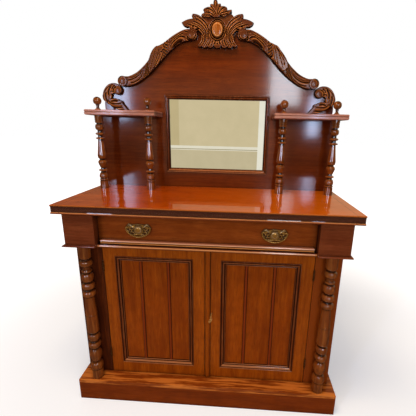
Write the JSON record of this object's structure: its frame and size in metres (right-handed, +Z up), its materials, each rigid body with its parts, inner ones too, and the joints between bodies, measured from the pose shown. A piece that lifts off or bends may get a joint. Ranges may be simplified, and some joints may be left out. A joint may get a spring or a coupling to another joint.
{
  "type": "chiffonier",
  "caption": "Tall chiffonier: panelled cupboard with long drawer between turned columns, gallery back with mirror, carved scrolls and crest, and two small shelves on colonnettes",
  "frame": {"origin": "on the floor, under the middle of the worktop", "axes": "+X to the viewer's right, +Y towards the wall, +Z up; the doors and the drawer open towards -Y"},
  "size_m": [1.22, 0.486, 1.833],
  "materials": {
    "polished_mahogany": "French-polished red-brown mahogany, glossy",
    "turned_mahogany": "lathe-turned mahogany, French polished",
    "carved_mahogany": "carved mahogany with waxed polish, darker in the hollows",
    "carcase_pine": "unpolished pine, aged",
    "mirror_glass": "silvered plate glass",
    "aged_brass": "cast and pressed brass, tarnished in the hollows",
    "steel": "worn bright steel"
  },
  "bodies": {
    "case": {"worktop": "polished_mahogany", "plinth_front": "polished_mahogany", "floor_board": "polished_mahogany", "front_stile_left": "polished_mahogany", "front_stile_right": "polished_mahogany", "drawer_rail": "polished_mahogany", "frieze_block_left": "polished_mahogany", "frieze_block_right": "polished_mahogany", "back_stile_left": "polished_mahogany", "back_stile_right": "polished_mahogany", "back_low_rail": "polished_mahogany", "pediment_board": "polished_mahogany", "gallery_shelf_left": "polished_mahogany", "gallery_shelf_right": "polished_mahogany", "mirror_frame": "polished_mahogany", "gable_left": "polished_mahogany", "gable_right": "polished_mahogany", "plinth_frame": "polished_mahogany", "base_column_left": "turned_mahogany", "base_column_right": "turned_mahogany", "colonnette_inner_left": "turned_mahogany", "colonnette_inner_right": "turned_mahogany", "colonnette_outer_left": "turned_mahogany", "colonnette_outer_right": "turned_mahogany", "shelf_finials": "turned_mahogany", "crest_cabochon": "turned_mahogany", "pediment_scrolls": "carved_mahogany", "crest_cartouche": "carved_mahogany", "corner_scrolls": "carved_mahogany", "back_boards": "carcase_pine", "drawer_framing": "carcase_pine", "cupboard_shelf": "carcase_pine", "shelf_battens": "carcase_pine", "mirror_backing": "carcase_pine", "mirror_glass": "mirror_glass", "hinge_case_leaves": "aged_brass"},
    "drawer": {"drawer_front": "polished_mahogany", "drawer_front_moulding": "polished_mahogany", "drawer_sides_back": "carcase_pine", "drawer_bottom": "carcase_pine", "handle_plates": "aged_brass"},
    "handle_bail_left": {"bail_left": "aged_brass"},
    "handle_bail_right": {"bail_right": "aged_brass"},
    "door_right": {"door_right_frame": "polished_mahogany", "door_right_panel": "polished_mahogany", "door_right_moulding": "polished_mahogany", "meeting_bead": "polished_mahogany", "hinge_leaves_right": "aged_brass", "lock_case": "aged_brass"},
    "door_left": {"door_left_frame": "polished_mahogany", "door_left_panel": "polished_mahogany", "door_left_moulding": "polished_mahogany", "hinge_leaves_left": "aged_brass", "door_bolt_plates": "aged_brass"},
    "lock_bolt_slide": {"lock_bolt": "steel"},
    "lock_key": {"key": "aged_brass"},
    "top_bolt": {"door_bolt_top": "steel"},
    "bottom_bolt": {"door_bolt_bottom": "steel"}
  },
  "joints": [
    {"name": "drawer_slide", "type": "slide", "parent": "case", "child": "drawer", "axis": [0, -1, 0], "range_m": [0, 0.28]},
    {"name": "bail_left_swing", "type": "hinge", "parent": "drawer", "child": "handle_bail_left", "pos_m": [-0.278, -0.199, 0.875], "axis": [-1, 0, 0], "range_deg": [0, 85]},
    {"name": "bail_right_swing", "type": "hinge", "parent": "drawer", "child": "handle_bail_right", "pos_m": [0.278, -0.199, 0.875], "axis": [-1, 0, 0], "range_deg": [0, 85]},
    {"name": "door_right_hinge", "type": "hinge", "parent": "case", "child": "door_right", "pos_m": [0.4607, -0.1565, 0.4465], "axis": [0, 0, 1], "range_deg": [0, 110]},
    {"name": "door_left_hinge", "type": "hinge", "parent": "case", "child": "door_left", "pos_m": [-0.4607, -0.1565, 0.4465], "axis": [0, 0, -1], "range_deg": [0, 110]},
    {"name": "key_turn", "type": "hinge", "parent": "door_right", "child": "lock_key", "pos_m": [0.022, -0.153, 0.46], "axis": [0, 1, 0], "range_deg": [0, 180]},
    {"name": "lock_bolt_throw", "type": "slide", "parent": "door_right", "child": "lock_bolt_slide", "axis": [-1, 0, 0], "range_m": [0, 0.009]},
    {"name": "top_bolt_shoot", "type": "slide", "parent": "door_left", "child": "top_bolt", "axis": [0, 0, 1], "range_m": [0, 0.012]},
    {"name": "bottom_bolt_shoot", "type": "slide", "parent": "door_left", "child": "bottom_bolt", "axis": [0, 0, -1], "range_m": [0, 0.012]}
  ],
  "couplings": [
    {"joint": "lock_bolt_throw", "follows": "key_turn", "m_per_rad": 0.0028647}
  ]
}
